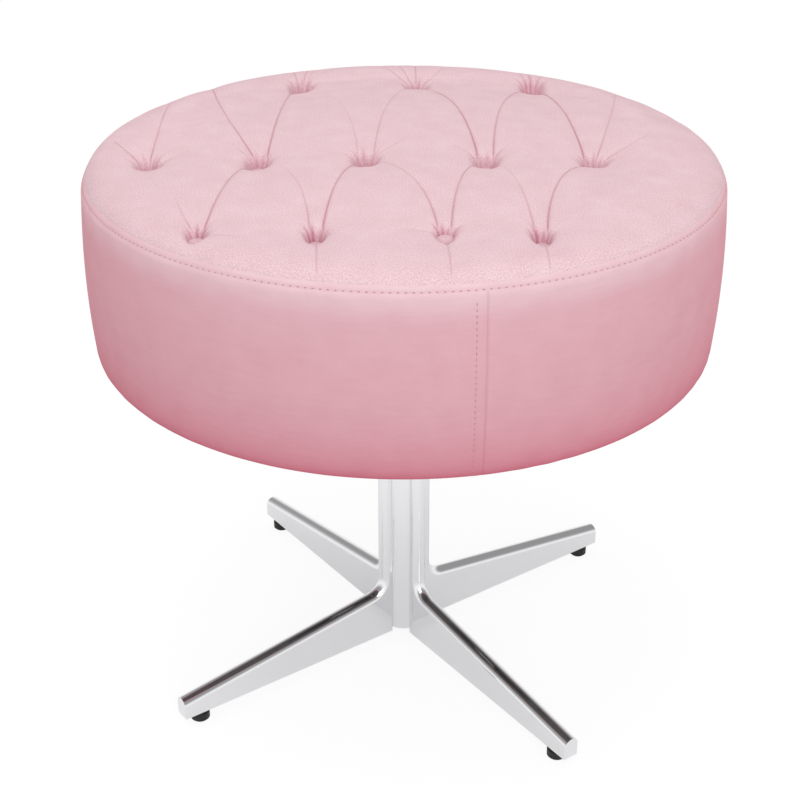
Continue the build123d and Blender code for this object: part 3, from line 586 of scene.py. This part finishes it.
# Below the seam the pad goes on as a skirt: rings so far in from the seam and so far down, and a flat end.
SKIRT_RINGS = ((-0.24, 1.0), (0.6, 2.4), (3.5, 4.3), (8.0, 10.0), (11.0, 26.0))
rim = np.concatenate([np.arange(GRID), np.arange(1, GRID) * GRID + GRID - 1,
                      GRID * GRID - 2 - np.arange(GRID - 1), np.arange(GRID - 2, 0, -1) * GRID])
skirt = []
for inward, down in SKIRT_RINGS:
    narrower = (SEAM_RADIUS - inward) / SEAM_RADIUS
    skirt.append(pad.reshape(-1, 3)[rim] * [narrower, narrower, 1] - [0, 0, down])
skirt.append(skirt[-1] * [0.995, 0.995, 0] + [0, 0, PAD_LOW])
points = np.vstack([pad.reshape(-1, 3), *skirt])
loops = np.vstack([rim, GRID * GRID + np.arange(len(skirt) * len(rim)).reshape(len(skirt), -1)])
beyond = np.roll(loops, -1, axis=1)
wall = np.stack([loops[:-1], loops[1:], beyond[1:], beyond[:-1]], axis=-1)
faces = grid_quads(GRID, GRID).tolist() + wall.reshape(-1, 4).tolist() + [loops[-1][::-1].tolist()]

# The suede-like cloth of the whole cover: a short nap with a fine mottle, brushed into faint streaks.
suede_nap, given, put_out = new_effect(
    "suede_nap",
    {"Place": "Vector", "Pale": "Color", "Deep": "Color", "Mottle": "Float", "Streaks": "Float"},
    {"Colour": "Color", "Height": "Float"},
)


def nap_noise(place, amount, scale, detail, roughness):
    """Noise about nought at a place on the cloth, times an amount."""
    noise = add_node(suede_nap, "TexNoise", {
        "Vector": place, "Scale": scale, "Detail": detail, "Roughness": roughness})
    return maths(suede_nap, "MULTIPLY", maths(suede_nap, "SUBTRACT", noise.outputs["Fac"], 0.5), amount)


brushed = add_node(suede_nap, "Mapping", {"Vector": given["Place"], "Scale": (0.12, 1.0, 1.0)})
speck = nap_noise(given["Place"], given["Mottle"], scale=980.0, detail=1.5, roughness=0.6)
cloud = nap_noise(given["Place"], 0.9, scale=46.0, detail=4.0, roughness=0.55)
brush = nap_noise(brushed.outputs["Vector"], given["Streaks"], scale=330.0, detail=4.0, roughness=0.6)
tint = maths(suede_nap, "ADD", maths(suede_nap, "ADD", speck, cloud), maths(suede_nap, "ADD", brush, 0.5))
tint = add_node(suede_nap, "Clamp", {"Value": tint}).outputs["Result"]
suede_nap.links.new(mix_colours(suede_nap, tint, given["Deep"], given["Pale"]), put_out["Colour"])
suede_nap.links.new(maths(suede_nap, "ADD", speck, brush), put_out["Height"])

# Tints of painted shade, in folds and to the hem; the width of a painted pleat line; the marks the cloth
# stores.
SHADE_TINT = (0.62, 0.3, 0.385, 1.0)
HEM_SHADE_TINT = (0.72, 0.29, 0.37, 1.0)
LINE_WIDTH = 0.75
CLOTH_MARKS = ("crease", "stretch", "pleat", "pleat_gap")


def suede_finish(name, pale, deep, mottle, streaks, sheen, bloom):
    """The cover's cloth on a cut piece, with painted shade: deeper to the hem, in its folds and along them.
    """
    finish, tree, shader = new_finish(name, {
        "Roughness": 0.9, "Specular IOR Level": 0.08,
        "Sheen Weight": sheen, "Sheen Roughness": 0.7, "Sheen Tint": bloom})
    flat = add_node(tree, "UVMap", uv_map="cut").outputs["UV"]
    nap = add_node(tree, "Group", {
        "Place": flat, "Pale": pale, "Deep": deep, "Mottle": mottle, "Streaks": streaks,
    }, node_tree=suede_nap)
    marks = {layer: add_node(tree, "Attribute", attribute_name=layer).outputs["Fac"]
             for layer in CLOTH_MARKS}
    # Painted shade: a dark line down each pleat's fold, which the bump also sinks a little.
    across = maths(tree, "ABSOLUTE", maths(tree, "DIVIDE", marks["pleat_gap"], LINE_WIDTH))
    minus_square = maths(tree, "MULTIPLY", maths(tree, "POWER", across, 2.0), -1.0)
    line = maths(tree, "MULTIPLY", maths(tree, "POWER", 2.718, minus_square), marks["pleat"])
    # Painted shade: deeper towards the hem, then in folds, dimples and along the pleat lines.
    colour = mix_colours(tree, marks["stretch"], nap.outputs["Colour"], HEM_SHADE_TINT, "MULTIPLY")
    colour = mix_colours(tree, maths(tree, "MAXIMUM", marks["crease"], line), colour, SHADE_TINT, "MULTIPLY")
    tree.links.new(colour, shader.inputs["Base Color"])
    height = maths(tree, "SUBTRACT", nap.outputs["Height"], maths(tree, "MULTIPLY", line, 1.2))
    raise_surface(tree, shader, height, strength=0.1, distance=0.0006)
    return finish


def mark_cloth(piece, **layers):
    """Stores by name each point's painted shade in folds and to the hem, and its painted pleat line and gap.
    """
    for name in CLOTH_MARKS:
        amount = np.broadcast_to(layers.get(name, 0.0), len(piece.data.vertices)).astype(np.float32)
        piece.data.attributes.new(name, "FLOAT", "POINT").data.foreach_set("value", amount)


top_suede = suede_finish(
    "pink_suede_top", linear(238, 211, 216), linear(222, 184, 192),
    mottle=3.6, streaks=0.2, sheen=0.12, bloom=linear(255, 226, 232))
top_pad = put_mesh("top_pad", points, faces, top_suede, "seat", cut=points[:, :2])
below = np.zeros(len(points) - GRID * GRID)
# Painted shade on the top: darker in the gathers and the dimples' throats, a little on the rolled rim.
depth = np.maximum(gather_shade, 0.4 * throat) + 0.06 * bell(radius - 233, 13)
rim_gap = (np.hypot(x[..., None] - tufts[:, 0], y[..., None] - tufts[:, 1]) - throat_radius).min(axis=-1)
# Painted dark lines along the pleats, fainter close to the dimples.
line = 0.82 * np.minimum(furrow, 1) * np.clip((rim_gap + 2) / 10, 0.25, 1)
mark_cloth(top_pad, crease=np.append(depth, below), pleat=np.append(line, below),
           pleat_gap=np.append(nearest_fold, below + NO_PLEAT))
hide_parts("top_cover", "top_foam")


# Side band: one strip of the same cloth over a thin foam wrap, sewn to the top panel on the shoulder,
# its ends joined at one upright seam, drawn in over the lower edge and stapled under the drum.
SIDE_CENTRE = (-483.53, 376.5)
SIDE_CURVE = 733.53
LOWER = (233.28, 314.0)
LOWER_RADIUS = 14.0
HEM_RADIUS = 216.0
HEM_LEVEL = 300.0
BAND_RADIUS = 248.0
SEAM_ANGLE = np.radians(-77.5)
SEAM_END = 138.0
STITCH_DROP = 4.6
UPRIGHT_STITCH = -7.2
PUCKER_DROP = 138.0
ROUND_COUNT = 840
LINING_STEP = 6.0
CUT_RADIUS = 250.0
TURNED_IN = 1.0


def arc(centre, radius, first, last, count):
    """Points along a circle of the outline between two angles in degrees."""
    angle = np.radians(np.linspace(first, last, count))
    return np.column_stack([centre[0] + radius * np.cos(angle), centre[1] + radius * np.sin(angle)])


outline = np.vstack([
    arc(SHOULDER, SHOULDER_RADIUS, 39.6, 4.78, 30),
    arc(SIDE_CENTRE, SIDE_CURVE, 4.78, -4.98, 42)[1:],
    arc(LOWER, LOWER_RADIUS, -4.98, -90.0, 16)[1:],
    np.column_stack([np.linspace(LOWER[0], HEM_RADIUS, 7)[1:], np.full(6, HEM_LEVEL)]),
])
inside = np.array([
    [HEM_RADIUS, 301.0], [228.0, 301.4], [234.8, 303.2], [236.0, 308.0], [236.2, 360.0],
    [236.2, 410.0], [237.2, 430.0], [239.6, 439.0], [242.2, 443.8],
])
turn = np.arange(ROUND_COUNT) / ROUND_COUNT
angle = SEAM_ANGLE + 2 * np.pi * (turn - 0.8 * np.sin(2 * np.pi * turn) / (2 * np.pi))
run = np.concatenate([[0], np.cumsum(np.hypot(*np.diff(outline, axis=0).T))]) - TURNED_IN
slope = np.gradient(outline, run, axis=0)
outward = np.column_stack([-slope[:, 1], slope[:, 0]])
waves = np.column_stack([
    dice.integers(3, 15, 9), dice.uniform(0, 6.28, 9),
    dice.uniform(-0.03, 0.03, 9), dice.uniform(0.05, 0.2, 9)])
puckers = np.column_stack([dice.integers(36, 84, 7), dice.uniform(0, 6.28, 7), dice.uniform(0.05, 0.16, 7)])


def from_seam(angle):
    """Distance round the band from its upright seam."""
    return BAND_RADIUS * np.angle(np.exp(1j * (angle - SEAM_ANGLE)))


def band_swell(angle, along):
    """How far the band stands off its plain outline: slow waves, seam valleys, puckers low down."""
    swell = sum(size * np.sin(count * angle + start + lean * along) for count, start, lean, size in waves)
    swell = swell * np.exp(-(((along - 80) / 62) ** 4))
    swell -= 0.5 * np.clip(-along, 0, 1) + 0.35 * bell(along - STITCH_DROP, 1.6)
    swell += 0.12 * bell(along - STITCH_DROP - 5, 3.5)
    beside = from_seam(angle)
    upright = np.exp(-((along / SEAM_END) ** 12)) * np.clip((along - 4) / 4, 0, 1)
    swell -= 0.45 * upright * bell(beside, 0.9)
    swell += 0.2 * upright * bell(np.abs(beside) - 4, 3)
    swell -= 0.3 * upright * bell(beside - UPRIGHT_STITCH, 1.3)
    edge = bell(along - PUCKER_DROP, 9)
    swell += 0.3 * edge * sum(size * np.sin(count * angle + start) for count, start, size in puckers)
    close = bell(np.degrees(angle - SEAM_ANGLE) - 11, 6)
    return swell + 0.4 * edge * close * np.sin(70 * angle)


def band_points(angle, along):
    """Points on the band's outside at an angle round the seat and a distance down from the top seam."""
    beyond = band_swell(angle, along)
    reach = np.interp(along, run, outline[:, 0]) + beyond * np.interp(along, run, outward[:, 0])
    level = np.interp(along, run, outline[:, 1]) + beyond * np.interp(along, run, outward[:, 1])
    return np.stack([reach * np.cos(angle), reach * np.sin(angle), level], axis=-1)


angles, alongs = np.meshgrid(angle, run, indexing="ij")
outer = band_points(angles, alongs)
inner = np.stack([inside[:, 0] * np.cos(angle[:, None]), inside[:, 0] * np.sin(angle[:, None]),
                  np.broadcast_to(inside[:, 1], (ROUND_COUNT, len(inside)))], axis=-1)
band = np.concatenate([outer, inner], axis=1)
faces = grid_quads(*band.shape[:2], round_rows=True, round_columns=True).tolist()
span = np.concatenate([run, run[-1] + LINING_STEP * np.arange(1, len(inside) + 1)])
cut = np.stack(np.meshgrid((angle - SEAM_ANGLE) * CUT_RADIUS, span, indexing="ij"), axis=-1).reshape(-1, 2)
band_suede = suede_finish(
    "pink_suede_band", linear(238, 210, 215), linear(228, 192, 199),
    mottle=0.6, streaks=0.7, sheen=0.3, bloom=linear(250, 126, 148))
side_band = put_mesh("side_band_cover", band.reshape(-1, 3), faces, band_suede, "seat", cut=cut)

# Painted shade in the colour: pale as the top on the shoulder, deeper on the side, deepest where drawn
# under.
lower = np.clip((span - 40) / 112, 0, 1)
stretch = 0.335 * smooth_step(span, 2, 27) + 0.06 * np.clip((span - 18) / 40, 0, 1)
stretch = stretch + 0.41 * lower**2.2 + 0.48 * lower**8
# Painted shade in the stitch row's valley under the top seam, in the upright seam, and over the band's
# inside.
depth = 0.1 * bell(alongs - STITCH_DROP, 1.2) + 0.22 * bell(from_seam(angles), 0.6) * (alongs > 6)
depth = np.concatenate([depth, np.full((ROUND_COUNT, len(inside)), 0.3)], axis=1)
mark_cloth(side_band, crease=depth.ravel(), stretch=np.tile(stretch, ROUND_COUNT), pleat_gap=NO_PLEAT)
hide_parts("side_band", "side_foam")


# Tuft buttons: pressed metal shells covered with the same cloth, one in the bottom of each dimple.
# The cloth is tucked in under the rim, and the twine holds the button down from behind.
BUTTON_RADIUS = 7.5
BUTTON_RIM = 1.4
BUTTON_DOME = 3.6
BUTTON_LIFT = 0.6


def button_points():
    """One button turned about Z: flat back, short rim, dome, and faint puckers where the cloth tucks in."""
    reach = BUTTON_RADIUS * np.array([0.02, 0.7, 0.97, 1.0, 0.97, 0.88, 0.72, 0.5, 0.26, 0.02])
    rise = BUTTON_RIM * np.array([0, 0, 0.1, 0.6, 1, 1, 1, 1, 1, 1])
    rise = rise + BUTTON_DOME * np.array([0, 0, 0, 0, 0.1, 0.34, 0.62, 0.84, 0.96, 1.0])
    angle = np.linspace(0, 2 * np.pi, 36, endpoint=False)[:, None]
    reach = reach * (1 + 0.012 * np.sin(12 * angle) * (rise < 2.2))
    rise = np.broadcast_to(rise, reach.shape)
    return np.stack([reach * np.cos(angle), reach * np.sin(angle), rise], axis=-1)


shape = button_points()
spokes, steps = shape.shape[:2]
seats = np.column_stack([tufts, plain_level(np.hypot(*tufts.T)) - pull + BUTTON_LIFT])
points = (seats[:, None, :] + shape.reshape(1, -1, 3)).reshape(-1, 3)
firsts = np.arange(len(tufts))[:, None] * spokes * steps
backs = firsts + np.arange(spokes)[::-1] * steps
fronts = firsts + np.arange(spokes) * steps + steps - 1
faces = (firsts[..., None] + grid_quads(spokes, steps, round_rows=True)).reshape(-1, 4).tolist()
faces += backs.tolist() + fronts.tolist()
buttons = put_mesh("covered_buttons", points, faces, top_suede, "seat", cut=points[:, :2])
# Painted shade on each button: more round its low rim where the cloth tucks in, a little over the dome.
button_shade = np.where(shape[..., 2] < 1.2, 0.5, 0.15)
mark_cloth(buttons, crease=np.tile(button_shade.ravel(), len(tufts)), pleat_gap=NO_PLEAT)
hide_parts("tuft_buttons")


# Topstitching: a darker rose thread in short stitches, one row round the band just under the top seam
# and one row down beside the upright seam.
STITCH_PITCH = 5.0
UPRIGHT_PITCH = 4.3
UPRIGHT_FIRST = 14.0
UPRIGHT_LAST = 143.0
RIM_ROW_RADIUS = 246.0
STITCH_LENGTH = 2.1
THREAD_RADIUS = 0.36


def stitch_points(middle, forward, outward, length, radius):
    """A small sausage for each stitch: six-sided rings along the row, thinner and sunk at both ends."""
    along = np.array([-0.5, -0.36, 0.0, 0.36, 0.5]) * length
    thick = np.array([0.35, 0.9, 1.0, 0.9, 0.35]) * radius
    sink = np.array([-0.55, -0.1, 0.1, -0.1, -0.55])
    turn = np.arange(6) * np.pi / 3
    side = np.cross(forward, outward)
    ring = np.cos(turn)[:, None] * outward[:, None, None] + np.sin(turn)[:, None] * side[:, None, None]
    spine = middle[:, None] + along[:, None] * forward[:, None] + sink[:, None] * outward[:, None]
    return spine[:, :, None] + thick[:, None, None] * ring


def sew(name, points, finish):
    """Puts a row of stitches into one piece, each closed at both ends."""
    count, rings, sides = points.shape[:3]
    firsts = np.arange(count)[:, None] * rings * sides
    lasts = firsts + rings * sides - 1
    one = grid_quads(rings, sides, round_columns=True)[:, ::-1]
    faces = (firsts[..., None] + one).reshape(-1, 4).tolist()
    faces += (firsts + np.arange(sides)).tolist() + (lasts - np.arange(sides)).tolist()
    put_mesh(name, points.reshape(-1, 3), faces, finish, "seat")


def unit(vectors):
    """Vectors of length one."""
    return vectors / np.linalg.norm(vectors, axis=-1, keepdims=True)


def band_stitches(turn, drop, upright):
    """Stitches on the band's outside at angles and drops, lying down it if upright and else round it."""
    down = unit(band_points(turn, drop + 0.5) - band_points(turn, drop - 0.5))
    round_way = unit(band_points(turn + 0.002, drop) - band_points(turn - 0.002, drop))
    forward = down if upright else round_way
    outward = unit(np.cross(down, round_way))
    return stitch_points(band_points(turn, drop), forward, outward, STITCH_LENGTH, THREAD_RADIUS)


thread, tree, shader = new_finish("rose_thread", {"Roughness": 0.6, "Sheen Weight": 0.2})
twist = add_node(tree, "TexNoise", {"Vector": own_place(tree), "Scale": 1800.0, "Detail": 2.0})
tone = mix_colours(tree, twist.outputs["Fac"], linear(186, 124, 138), linear(204, 148, 160))
tree.links.new(tone, shader.inputs["Base Color"])

count = int(2 * np.pi * RIM_ROW_RADIUS / STITCH_PITCH)
turn = SEAM_ANGLE + (np.arange(count) + 0.5) * 2 * np.pi / count
sew("rim_stitches", band_stitches(turn, np.full(count, STITCH_DROP), upright=False), thread)

drop = np.arange(UPRIGHT_FIRST, UPRIGHT_LAST, UPRIGHT_PITCH)
turn = np.full(len(drop), SEAM_ANGLE + UPRIGHT_STITCH / BAND_RADIUS)
sew("seam_stitches", band_stitches(turn, drop, upright=True), thread)


# Hem staples: zinc plated wire staples shot through the band's hem into the bottom board, spaced
# round the drum by hand, so that no two lie quite alike.
STAPLE_RING = 225.0
STAPLE_LEVEL = 299.75
STAPLE_COUNT = 44
STAPLE_LENGTH = 9.0
WIRE_RADIUS = 0.45
turn = np.arange(STAPLE_COUNT) * 2 * np.pi / STAPLE_COUNT + dice.uniform(-0.012, 0.012, STAPLE_COUNT)
level = np.full(STAPLE_COUNT, STAPLE_LEVEL)
middle = np.column_stack([STAPLE_RING * np.cos(turn), STAPLE_RING * np.sin(turn), level])
lean = turn + np.pi / 2 + dice.uniform(-0.2, 0.2, STAPLE_COUNT)
forward = np.column_stack([np.cos(lean), np.sin(lean), np.zeros(STAPLE_COUNT)])
below = np.tile([0.0, 0.0, -1.0], (STAPLE_COUNT, 1))
sew("hem_staples", stitch_points(middle, forward, below, STAPLE_LENGTH, WIRE_RADIUS), zinc)


# Studio: a plain white floor that keeps the pouf's shadow, a white surround, and large soft lamps.
# Floor and surround have one level for what the camera sees, one in mirrors and one as light.
FLOOR_HALF = 6.0
FLOOR_WHITE = 0.75
SEEN_GLOW = 0.9
SEEN_LOSS = -0.61
MIRROR_GLOW = 0.42
MIRROR_LOSS = -0.1


def ray_masks(tree):
    """Masks of the rays that the camera sees straight, and of those that it sees in a mirror."""
    path = add_node(tree, "LightPath").outputs
    return maths(tree, "MAXIMUM", path["Is Camera Ray"], path["Is Transmission Ray"]), path["Is Glossy Ray"]


def weighed(tree, seen, mirrored, seen_level, mirror_level):
    """The sum of two masks, each times its level."""
    return maths(tree, "ADD", maths(tree, "MULTIPLY", seen, seen_level),
                 maths(tree, "MULTIPLY", mirrored, mirror_level))


floor_finish = bpy.data.materials.new("studio_floor")
floor_finish.use_nodes = True
tree = floor_finish.node_tree
tree.nodes.remove(tree.nodes["Principled BSDF"])
seen, mirrored = ray_masks(tree)
glow = weighed(tree, seen, mirrored, SEEN_GLOW, MIRROR_GLOW)
loss = weighed(tree, seen, mirrored, SEEN_LOSS, MIRROR_LOSS)
paint = add_node(tree, "BsdfDiffuse", {"Color": maths(tree, "ADD", FLOOR_WHITE, loss)})
shine = add_node(tree, "Emission", {"Color": (1.0, 1.0, 1.0, 1.0), "Strength": glow})
both = add_node(tree, "AddShader", {0: paint.outputs[0], 1: shine.outputs[0]})
tree.links.new(both.outputs[0], tree.nodes["Material Output"].inputs["Surface"])
floor_mesh = bpy.data.meshes.new("studio_floor")
corners = [(-FLOOR_HALF, -FLOOR_HALF, 0), (FLOOR_HALF, -FLOOR_HALF, 0),
           (FLOOR_HALF, FLOOR_HALF, 0), (-FLOOR_HALF, FLOOR_HALF, 0)]
floor_mesh.from_pydata(corners, [], [(0, 1, 2, 3)])
floor_mesh.materials.append(floor_finish)
floor = bpy.data.objects.new("studio_floor", floor_mesh)
bpy.context.collection.objects.link(floor)

ROOM_LIGHT = 0.66
MIRRORED_WALL = 1.0
MIRRORED_CEILING = 0.34
world = bpy.data.worlds.new("studio")
world.use_nodes = True
bpy.context.scene.world = world
tree = world.node_tree
seen, mirrored = ray_masks(tree)
rise = add_node(tree, "SeparateXYZ", {"Vector": own_place(tree)}).outputs["Z"]
graded = add_node(tree, "MapRange", {
    "Value": rise, "From Min": 0.03, "From Max": 0.55,
    "To Min": MIRRORED_WALL - ROOM_LIGHT, "To Max": MIRRORED_CEILING - ROOM_LIGHT,
}, interpolation_type="SMOOTHSTEP")
level = maths(tree, "ADD", ROOM_LIGHT, maths(tree, "MULTIPLY", seen, 1.0 - ROOM_LIGHT))
level = maths(tree, "ADD", level, maths(tree, "MULTIPLY", mirrored, graded.outputs["Result"]))
tree.links.new(level, tree.nodes["Background"].inputs["Strength"])
tree.nodes["Background"].inputs["Color"].default_value = (1.0, 1.0, 1.0, 1.0)


def soft_lamp(name, place, aim, size, watts):
    """A square soft box of the given width turned to face a point."""
    light = bpy.data.lights.new(name, "AREA")
    light.size = size
    light.energy = watts
    lamp = bpy.data.objects.new(name, light)
    away = np.array(place) - np.array(aim)
    lamp.location = place
    tip = np.arctan2(np.hypot(away[0], away[1]), away[2])
    lamp.rotation_euler = (tip, 0.0, np.arctan2(away[0], -away[1]))
    bpy.context.collection.objects.link(lamp)


soft_lamp("overhead", place=(-0.3, -0.2, 2.3), aim=(0.0, 0.0, 0.4), size=1.5, watts=12.0)
soft_lamp("front", place=(0.6, -2.4, 1.2), aim=(0.0, 0.0, 0.3), size=1.5, watts=19.0)


# Camera: in front of the pouf and above its seat, tipped down on a long lens, as the photograph
# was taken. The small shift puts the seat where it stands in the picture.
CAMERA_DIP = 27.81
bpy.context.scene.view_settings.view_transform = "Standard"
lens = bpy.data.cameras.new("photo_camera")
lens.sensor_width = 36.0
lens.lens = 67.5
lens.shift_x = -0.0051
camera = bpy.data.objects.new("photo_camera", lens)
camera.location = (0.0, -1.117, 0.8255)
camera.rotation_euler = (np.radians(90 - CAMERA_DIP), 0.0, 0.0)
bpy.context.collection.objects.link(camera)
bpy.context.scene.camera = camera
